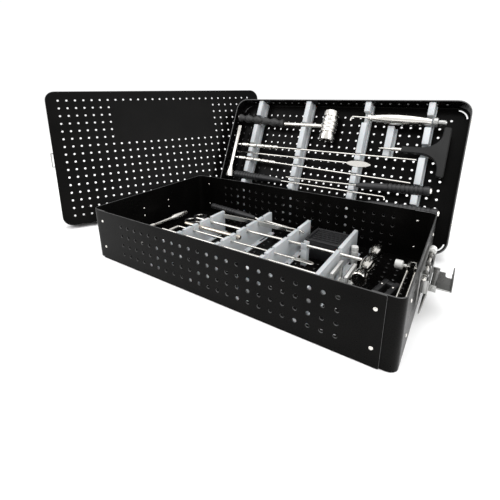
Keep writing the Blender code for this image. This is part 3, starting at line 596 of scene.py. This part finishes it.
dark_satin = finish("dark_satin", (0.11, 0.11, 0.105), (0.19, 0.185, 0.18), 0.3, 1.0, (500, 500, 60), 0.03)
white_plastic = finish("white_plastic", (0.66, 0.66, 0.64), (0.78, 0.78, 0.76), 0.4, 0.0, bump=0.05)
for end, turn in TURN_END.items():
    node = f"{end}_latch_plate"
    fit(f"{end}_plate", softened(node, 0.0003, 1), "base_tray", [satin], [node])
    pin = bar((pin_x, -PIN_HALF, pin_z), (pin_x, PIN_HALF, pin_z), PIN_RADIUS)
    fit(f"{end}_hinge_pin", pin, "base_tray", [steel], [f"{end}_latch_pin"], turn)
    coils = [coil((pin_x, y, pin_z), 0.0024, 0.0045, 6, 0.010) for y in SPRINGS]
    bm = joined(*[(wire(points, 0.0005), turn) for points in coils])
    fit(f"{end}_coils", bm, "base_tray", [dark_satin], [f"{end}_latch_spring"])
    barrel = [(0, 0.0040), (0.0006, 0.0046), (0.0094, 0.0046), (0.010, 0.0040)]
    place = turn @ along((pin_x, PIN_HALF + 0.0004, pin_z), (pin_x, 0.06, pin_z))
    fit(f"{end}_barrel", turned(barrel), "base_tray", [white_plastic], (), place)
    shape = [(0.23755, 0.0568), (0.23755, 0.0402), (0.2332, 0.0150), (0.2336, 0.0141), (0.2345, 0.0142)]
    shape += [(0.2350, 0.0150), (0.23905, 0.0400), (0.23905, 0.0568)]
    parts = [(punched(shape, [], LEVER_WIDTH, 0.0003), STAND)]
    for side in (-1, 1):
        low, high = sorted(side * y for y in CHEEK)
        parts.append((block((0.2320, low, 0.0405), (0.2382, high, 0.0566)), Matrix()))
        parts.append((bar((pin_x, low, pin_z), (pin_x, high, pin_z), 0.0026), Matrix()))
        low, high = sorted(side * y for y in EAR)
        parts.append((block((0.2388, low, 0.0378), (0.2463, high, 0.0458)), Matrix()))
    parts.append((bar((hook_x, -0.025, hook_z), (hook_x, 0.025, hook_z), PIN_RADIUS), Matrix()))
    fit(f"{end}_lever_channel", joined(*parts), f"{end}_lever", [satin, satin],
        [f"{end}_latch_lever"], turn)
    leaf = [(0.0010, -LEAF_HALF), (HOOK_LONG, -LEAF_HALF), (HOOK_LONG, LEAF_HALF), (0.0164, LEAF_HALF)]
    leaf += [(0.0164, 0.0100), (0.0120, 0.0100), (0.0100, 0.0130), (0.0100, LEAF_HALF)]
    leaf.append((0.0010, LEAF_HALF))
    parts = [(punched(leaf, [], SHEET, 0.0003), Matrix.Translation((hook_x, 0, hook_z)))]
    tube = [(0, 0.0019), (0, 0.0032), (0.0440, 0.0032), (0.0440, 0.0019)]
    parts.append((sleeve(tube), along((hook_x, -0.022, hook_z), (hook_x, 0.022, hook_z))))
    lip_x = hook_x + HOOK_LONG
    lip = block((lip_x - SHEET, -LEAF_HALF, hook_z), (lip_x, LEAF_HALF, hook_z + LIP_HIGH))
    parts.append((lip, Matrix()))
    fit(f"{end}_hook", joined(*parts), f"{end}_hook", [dark_satin, satin],
        [f"{end}_hook_plate"], turn)


# Fittings of the base tray: a black moulded box with a ribbed top, a bent-sheet clamp bracket, a
# white six-sided post and a silicone clip. A pair of scissors with black rings lies beside them.

polymer = finish("polymer", (0.012, 0.012, 0.013), (0.022, 0.022, 0.023), 0.38, 0.0, (700, 700, 700), 0.2,
                 Specular_IOR_Level=0.4)
RIB_PITCH, RIB_HALF = 0.0074, 0.0014

low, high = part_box("storage_box")
middle, half = (low + high) / 2, (high - low) / 2
case = block(low, (high.x, high.y, high.z - 0.0030), 0.0008)
well = rounded(half.x - 0.0040, half.y - 0.0040, 0.002, 3)[::-1]
rim = punched(rounded(half.x, half.y, 0.0025, 4), [well], 0.0034, 0.0004)
parts = [(case, Matrix()), (rim, Matrix.Translation((middle.x, middle.y, high.z - 0.0017)))]
for step in range(6):
    y = low.y + 0.0075 + step * RIB_PITCH
    rib_low = (low.x + 0.006, y - RIB_HALF, high.z - 0.0034)
    rib_high = (high.x - 0.006, y + RIB_HALF, high.z - 0.0012)
    parts.append((block(rib_low, rib_high), Matrix()))
fit("ribbed_box", joined(*parts), "base_tray", [polymer, polymer], ["storage_box"])
pale_satin = finish("pale_satin", (0.70, 0.70, 0.68), (0.82, 0.82, 0.80), 0.45, 0.8, (500, 500, 60), 0.03)
fit("bent_bracket", softened("clamp_bracket", 0.0005), "base_tray", [pale_satin], ["clamp_bracket"])

post = [(0.0018, 0.0052), (0.0024, 0.0056), (0.0220, 0.0056), (0.0224, 0.0046), (0.0244, 0.0046)]
post += [(0.0248, 0.0056), (0.0294, 0.0056), (0.0300, 0.0050)]
place = Matrix.Translation((0.127, 0.062, 0))
fit("hexagon_post", turned(post, 6), "base_tray", [white_plastic], (), place)
CLIP_LEFT, CLIP_RIGHT = 0.0605, 0.0695
parts = [(block((CLIP_LEFT, 0.0130, 0.0018), (CLIP_RIGHT, 0.0250, 0.0295), 0.0008), Matrix())]
for y in (0.0130, 0.0226):
    parts.append((block((CLIP_LEFT, y, 0.0280), (CLIP_RIGHT, y + 0.0024, 0.0385), 0.0006), Matrix()))
fit("rod_clip", joined(*parts), "base_tray", [silicone])

RING_X, RING_RADIUS, RING_LEVEL = -0.176, 0.011, 0.019
RING_STEP = radians(15)


def ring_arc(y, z, radius, steps):
    """Points along a level arc round one of the rings' middles."""
    angles = [RING_STEP * step for step in steps]
    return [(RING_X + radius * cos(angle), y + radius * sin(angle), z) for angle in angles]


rings, bars_and_glints = [], []
for y in (0.030, 0.056):
    rings.append((wire(ring_arc(y, RING_LEVEL, RING_RADIUS, range(25)), 0.0018), Matrix()))
    # A thin steel arc along the top of each ring's inner edge is a painted highlight on the black ring, not
    # a part.
    ring_glint = ring_arc(y, RING_LEVEL + 0.0008, 0.0086, range(4, 16))
    bars_and_glints.append((wire(ring_glint, 0.0008), Matrix()))
    shank = bar((RING_X + 0.012, y, RING_LEVEL), (-0.129, 0.043, RING_LEVEL), 0.0018)
    bars_and_glints.append((shank, Matrix()))
bars_and_glints.append((bar((-0.1885, -0.085, 0.0130), (-0.1860, 0.004, 0.0130), 0.0035), Matrix()))
fit("ring_handles", joined(*rings), "base_tray", [polymer])
fit("scissor_bars_and_glints", joined(*bars_and_glints), "base_tray", [steel])


# Instruments in the base tray: polished steel rods, a slap hammer with its weight, a trocar, a
# clamp and a ratchet. The rods lie in the slots of the rails, all at one height.

BASE_AXIS = 0.033


def laid(name, body, node, x0, y0, x1, y1, radius):
    """A steel bar laid level across the rails."""
    fit(name, bar((x0, y0, BASE_AXIS), (x1, y1, BASE_AXIS), radius), body, [steel], [node])


laid("hammer_bar", "slap_hammer", "hammer_rod", -0.150, 0.019, 0.1497, 0.019, 0.0025)
WEIGHT_X = 0.1595
WEIGHT = [(0, 0.0085), (0.001, 0.0095), (0.012, 0.0095), (0.0135, 0.0090), (0.020, 0.0070)]
WEIGHT += [(0.025, 0.0071), (0.030, 0.0075), (0.034, 0.0083), (0.038, 0.0088), (0.047, 0.0090)]
WEIGHT += [(0.056, 0.0088), (0.061, 0.0080), (0.066, 0.0071), (0.070, 0.0068), (0.074, 0.0070)]
WEIGHT += [(0.080, 0.0086), (0.085, 0.0094), (0.090, 0.0096), (0.095, 0.0092), (0.099, 0.0080)]
WEIGHT += [(0.101, 0.0060), (0.102, 0.0040)]
place = along((WEIGHT_X, -0.035, BASE_AXIS), (WEIGHT_X, 0.067, BASE_AXIS))
fit("hammer_head_weight", turned(WEIGHT, 36), "slap_hammer", [steel], ["hammer_weight"], place)

BLADE_Y = -0.027
blade = bar((-0.150, BLADE_Y, BASE_AXIS), (0.070, BLADE_Y, BASE_AXIS), 0.0015)
tip = punched(rounded(0.016, 0.004, 0.0038, 6), [], 0.0018, 0.0005)
bm = joined((blade, Matrix()), (tip, Matrix.Translation((0.082, BLADE_Y, BASE_AXIS))))
fit("blade_bar", bm, "blade_probe", [steel, steel], ["blade_rod"])
laid("guide_bar", "guide", "guide_rod", -0.165, -0.050, 0.112, -0.050, 0.0020)
warm_steel = finish("warm_steel", (0.60, 0.54, 0.46), (0.70, 0.64, 0.56), 0.28, 1.0, (60, 700, 700), 0.05)
tube = bar((-0.150, -0.010, BASE_AXIS), (-0.033, -0.010, BASE_AXIS), 0.0035)
fit("sheath", tube, "sheath", [warm_steel], ["sheath_tube"])

LONG = 0.1561  # length of the flat blade, which stands on edge and ends in a pointed loop
loop = [(0, -0.0015), (LONG - 0.008, -0.0015), (LONG - 0.001, 0.0008), (LONG, 0.0017)]
loop += [(LONG, 0.0033), (LONG - 0.001, 0.0042), (LONG - 0.008, 0.0065), (0, 0.0065)]
eye = [(LONG - 0.030, 0.0008), (LONG - 0.030, 0.0042), (LONG - 0.008, 0.0042), (LONG - 0.003, 0.0025)]
eye.append((LONG - 0.008, 0.0008))
bm = punched(loop, [eye], 0.003, 0.0004)
place = Matrix.Translation((-0.110, 0.050, BASE_AXIS)) @ Matrix.Rotation(radians(2.203), 4, "Z") @ STAND
fit("flat_blade_bar", bm, "flat_blade", [steel, steel], ["flat_retractor"], place)

x0, y0, x1, y1 = -0.060, 0.076, 0.018, 0.067
laid("long_dissector_bar", "long_dissector", "long_dissector_rod", x0, y0, x1, y1, 0.0015)


def ribbed_grip(length, palm, waist, front):
    """A moulded grip: a ribbed palm, a smooth waist and a taper to the collar."""
    profile = [(0, palm - 0.0023), (0.002, palm - 0.0002), (0.0028, palm), (0.0078, palm)]
    for step in range(9):
        start = 0.0100 + step * 0.0066
        profile += [(start, palm - 0.0001), (start + 0.0006, palm - 0.0012)]
        profile += [(start + 0.0022, palm - 0.0012), (start + 0.0028, palm - 0.0001)]
    profile += [(0.070, waist + 0.0003), (0.074, waist), (0.080, waist), (length - 0.012, waist - 0.0010)]
    return profile + [(length - 0.002, front + 0.0004), (length, front)]


LONG_GRIP = 0.112
towards = Vector((x0 - x1, y0 - y1, 0)).normalized()
neck = Vector((x0, y0, BASE_AXIS))
place = along(neck + towards * (LONG_GRIP + GAP), neck)
bm = turned(ribbed_grip(LONG_GRIP, 0.0056, 0.0054, 0.0030))
fit("long_dissector_handle", bm, "long_dissector", [polymer], ["long_dissector_grip"], place)

TROCAR = [(0, 0.0030), (0.001, 0.0042), (0.040, 0.0042), (0.043, 0.0038), (0.046, 0.0030), (0.080, 0.0030)]
TROCAR += [(0.084, 0.0036), (0.090, 0.0056), (0.119, 0.0056), (0.121, 0.0050), (0.123, 0.0030)]
place = along((-0.203, -0.080, 0.028), (-0.198, 0.043, 0.028))
fit("trocar_rod", turned(TROCAR), "trocar_body", [steel], ["trocar"], place)
turn = Matrix.Translation((0.184, -0.033, 0)) @ Matrix.Rotation(radians(-12), 4, "Z")
parts = [(block((x, -0.042, 0.012), (x + 0.0078, 0.042, 0.021), 0.0028), turn) for x in (-0.011, 0.0032)]
for y in (-0.0405, 0.0322):
    parts.append((block((-0.0095, y, 0.0128), (0.0095, y + 0.0085, 0.0192), 0.0012), turn))
fit("clamp_jaws", joined(*parts), "clamp", [polymer], ["black_clamp"])
spots = [(x, y, 0.0209) for x in (-0.0071, 0.0071) for y in (-0.026, 0.0, 0.026)]
parts = [rivet_head(turn @ Matrix.Translation(spot), 0.0018, 0.0018, 0.0007) for spot in spots]
fit("clamp_rivets", joined(*parts), "clamp", [steel])
fit("ratchet_fork", softened("ratchet_tool", 0.0006), "ratchet", [steel], ["ratchet_tool"])


KNURL_SIDES = 28


def knurl(bm, low, high, depth):
    """Raises every second point of a turned piece between two heights, as a knurling wheel does."""
    heights = sorted({round(v.co.z, 6) for v in bm.verts if low <= v.co.z <= high})
    for vert in bm.verts:
        height = round(vert.co.z, 6)
        if height in heights and vert.co.xy.length > 0.0005:
            turn = round(Vector((1, 0)).angle_signed(vert.co.xy) / tau * KNURL_SIDES)
            if (heights.index(height) + turn) % 2:
                vert.co.xy *= 1 + depth / vert.co.xy.length
    return bm


KNOB = [(0, 0.0048), (0.0006, 0.0058)] + [(0.0012 + 0.0009 * n, 0.0058) for n in range(10)]
KNOB += [(0.0099, 0.0058), (0.0104, 0.0048), (0.011, 0.0020), (0.0147, 0.0020)]
bm = knurl(turned(KNOB, KNURL_SIDES), 0.001, 0.0097, 0.0004)
fit("ratchet_thumb_screw", bm, "ratchet_screw", [white_plastic], ["ratchet_knob"],
    along((0.1878, 0.041, 0.029), (0.203, 0.041, 0.029)))


# Instruments in the insert tray: a mallet, a retractor with its thumb screw, a T-handle, three
# probes, three dissectors and a flat bent lever. All lie at one height over the floor.

TOOL_Y = -0.0235


def held(x, z):
    """A place on the insert's level of instruments, in the scene's own axes."""
    return insert_place @ Vector((x, TOOL_Y, z))


def hold(name, body, node, bm, start, end, surface):
    """Lays a turned piece in the insert from start to end."""
    fit(name, bm, body, [surface], [node], along(held(*start), held(*end)))


SCALLOPS, GRIP_LENGTH = 5, 0.112
scalloped = [(0, 0.0045), (0.0008, 0.0070), (0.002, 0.0085)]
for step in range(1, 10 * SCALLOPS):
    share = step / (10 * SCALLOPS)
    scalloped.append((0.002 + share * (GRIP_LENGTH - 0.002), 0.0073 + 0.0017 * cos(tau * SCALLOPS * share)))
scalloped += [(GRIP_LENGTH, 0.0078), (GRIP_LENGTH + 0.002, 0.0045)]
MOULDED = (600, 600, 600)  # grain of the moulded grips
grip_black = finish("grip_black", (0.006, 0.006, 0.006), (0.012, 0.012, 0.012), 0.42, 0.0, MOULDED, 0.2,
                    Specular_IOR_Level=0.25)
rubber = finish("rubber", (0.016, 0.016, 0.016), (0.028, 0.028, 0.028), 0.5, 0.0, MOULDED, 0.3,
                Specular_IOR_Level=0.4)
butt, neck = (-0.2087, 0.088), (-0.094, 0.0785)
hold("mallet_handle", "mallet", "mallet_grip", turned(scalloped), butt, neck, rubber)
SHAFT_END = -0.0125
bm = bar(held(-0.093, 0.0785), held(SHAFT_END, 0.0777), 0.0040)
fit("mallet_bar", bm, "mallet", [steel], ["mallet_shaft"])
HEAD_LONG, HEAD_RADIUS, HEAD_LOW = 0.058, 0.0145, 0.0487
head = [(0, HEAD_RADIUS - 0.0012), (0.0006, HEAD_RADIUS - 0.0003), (0.0012, HEAD_RADIUS)]
for middle, half, deep in ((0.0135, 0.0022, 0.0022), (0.022, 0.0003, 0.0004), (0.029, 0.0003, 0.0004),
                           (0.036, 0.0003, 0.0004), (0.0445, 0.0022, 0.0022)):
    head += [(middle - half - 0.0006, HEAD_RADIUS), (middle - half, HEAD_RADIUS - deep)]
    head += [(middle + half, HEAD_RADIUS - deep), (middle + half + 0.0006, HEAD_RADIUS)]
head += [(HEAD_LONG - 0.0012, HEAD_RADIUS), (HEAD_LONG - 0.0006, HEAD_RADIUS - 0.0003)]
head.append((HEAD_LONG, HEAD_RADIUS - 0.0012))
cap = turned([(0, 0.0030), (0.0005, 0.0052), (0.0030, 0.0060), (0.0042, 0.0060), (0.0048, 0.0050)])
place = along(held(*butt), held(*neck)) @ Matrix.Translation((0, 0, -0.0030))
fit("mallet_cap", cap, "mallet", [steel], (), place)
x = SHAFT_END + GAP + HEAD_RADIUS
low, high = (x, HEAD_LOW), (x, HEAD_LOW + HEAD_LONG)
hold("mallet_steel_head", "mallet", "mallet_head", turned(head, 40), low, high, steel)

spindle = [(0, 0.0032), (0.0006, 0.0056), (0.001, 0.0062), (0.0056, 0.0062), (0.0062, 0.0056)]
spindle.append((0.0068, 0.0052))
for step in range(25):
    share = step / 24
    spindle.append((0.008 + share * 0.096, 0.0052 + 0.0043 * sin(pi * share ** 0.92) ** 0.8))
bm = turned(spindle, 32)
hold("retractor_body", "retractor", "retractor_grip", bm, (0.072, 0.0978), (0.178, 0.0937), steel)
collar = [(0, 0.0070), (0.0006, 0.0080)] + [(0.001 + 0.0008 * n, 0.0080) for n in range(8)]
collar += [(0.0072, 0.0076), (0.008, 0.0045), (0.016, 0.0045), (0.018, 0.0043), (0.020, 0.0025)]
bm = knurl(turned(collar, KNURL_SIDES), 0.0009, 0.0067, 0.0003)
hold("retractor_thumb_screw", "retractor_nut", "retractor_screw", bm, (0.1783, 0.0937), (0.199, 0.0929),
     satin)
nose = [(0.0406, 0.091), (0.0410, 0.0945), (0.0422, 0.0975), (0.0446, 0.0989), (0.0717, 0.0978)]
bm = wire([held(*spot) for spot in nose], 0.0016, 3)
fit("retractor_nose", bm, "retractor", [steel], ["retractor_hook"])

tee = [(0.2070, -0.0380), (0.2070, 0.0380), (0.2062, 0.0405), (0.2045, 0.0415), (0.1985, 0.0415)]
tee += [(0.1966, 0.0405), (0.1958, 0.0385)]
sweep = [(0.1668 + 0.0290 * cos(a), 0.0300 - 0.0244 * sin(a)) for a in [radians(10 * n) for n in range(10)]]
tee += sweep + [(0.1385, 0.0055)]
tee += [(x, -z) for x, z in reversed(tee[2:])]
TEE_Z = 0.043
place = insert_place @ Matrix.Translation((0, TOOL_Y, TEE_Z)) @ STAND
bm = punched(tee, [], 0.011, 0.0014)
fit("t_handle_grip", bm, "t_handle_driver", [grip_black, grip_black], ["t_handle"], place)
shaft = [(0, 0.0008), (0.002, 0.0012), (0.004, 0.0016), (0.020, 0.0016), (0.0205, 0.0026)]
shaft += [(0.022, 0.0032), (0.0365, 0.0032)]
hold("t_handle_collar", "t_handle_driver", "t_handle_shaft", turned(shaft), (0.1015, TEE_Z),
     (0.1382, TEE_Z), steel)

GRIP_STEP, GRIP_START = 0.0016, 0.008  # the knurled grip's rings of points
PROBES = {  # body, place of each end and length of the grip
    "a": ("probe_1", -0.196, 0.0275, 0.164, 0.0275, 0.099),
    "b": ("probe_2", -0.196, 0.0105, 0.051, 0.0105, 0),
    "c": ("probe_3", -0.196, -0.0020, 0.162, -0.0126, 0.101),
}
for letter, (body, x0, z0, x1, z1, grip) in PROBES.items():
    ends = held(x0, z0), held(x1, z1)
    length = (ends[1] - ends[0]).length
    profile = [(0, 0.0012), (0.0005, 0.0015)]
    if grip:
        profile = [(0, 0.0012), (0.0005, 0.0017), (0.005, 0.0018), (0.006, 0.0032)]
        steps = round((grip - 0.012) / GRIP_STEP)
        for step in range(steps + 1):
            groove = step % 12 in (0, 1)
            profile.append((GRIP_START + step * GRIP_STEP, 0.0031 if groove else 0.0040))
        profile += [(grip - 0.001, 0.0032), (grip, 0.0020), (grip + 0.001, 0.0015)]
    profile += [(length - 0.001, 0.0015), (length, 0.0010)]
    bm = turned(profile, KNURL_SIDES)
    if grip:
        knurl(bm, GRIP_START - 0.0001, grip - 0.0035, 0.0003)
    bm.transform(along(*ends))
    if letter == "b":
        oval = [(0.0215 * cos(a), 0.006 * sin(a)) for a in [tau * n / 32 for n in range(32)]]
        paddle = punched(oval, [], 0.0024, 0.0006)
        place = insert_place @ Matrix.Translation((0.0715, TOOL_Y, z1)) @ STAND
        bm = joined((bm, Matrix()), (paddle, place))
    fit(f"probe_{letter}_rod", bm, body, [steel, steel], [f"probe_{letter}"])

DISSECTORS = {  # body, and the places of the grip's butt, its neck and the rod's point
    "a": ("dissector_1", (-0.187, -0.0395), (-0.073, -0.0405), (0.126, -0.0416)),
    "b": ("dissector_2", (0.194, -0.0216), (0.076, -0.0283), (-0.064, -0.0312)),
    "c": ("dissector_3", (0.210, -0.0555), (0.096, -0.0574), (-0.045, -0.0562)),
}
for letter, (body, butt, neck, point) in DISSECTORS.items():
    length = (held(*neck) - held(*butt)).length
    bm = turned(ribbed_grip(length, 0.0077, 0.0068, 0.0032))
    node = f"dissector_{letter}_grip"
    hold(f"dissector_{letter}_handle", body, node, bm, butt, neck, polymer)
    cap = turned([(0, 0.0036), (0.0006, 0.0056), (0.0020, 0.0062), (0.0030, 0.0066), (0.0034, 0.0060)])
    place = along(held(*butt), held(*neck)) @ Matrix.Translation((0, 0, -0.0018))
    fit(f"dissector_{letter}_cap", cap, body, [steel], (), place)
    root_x = neck[0] + (GAP if point[0] > neck[0] else -GAP)
    if letter == "a":
        x, z = point
        route = [(root_x, neck[1]), (x - 0.002, z), (x, z - 0.001), (x + 0.001, z - 0.0055)]
        rod = wire([held(*spot) for spot in route], 0.0015, 3)
    else:
        rod = bar(held(root_x, neck[1]), held(*point), 0.0015)
    fit(f"dissector_{letter}_shaft", rod, body, [steel], [f"dissector_{letter}_rod"])

fit("flat_bent_lever", softened("bent_lever", 0.0006), "lever_bar", [steel], ["bent_lever"])


# The sizes of the frame and of the finished set, side by side.

low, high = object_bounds()
{"cad": [list(cad_low), list(cad_high)], "visual": [list(low), list(high)]}
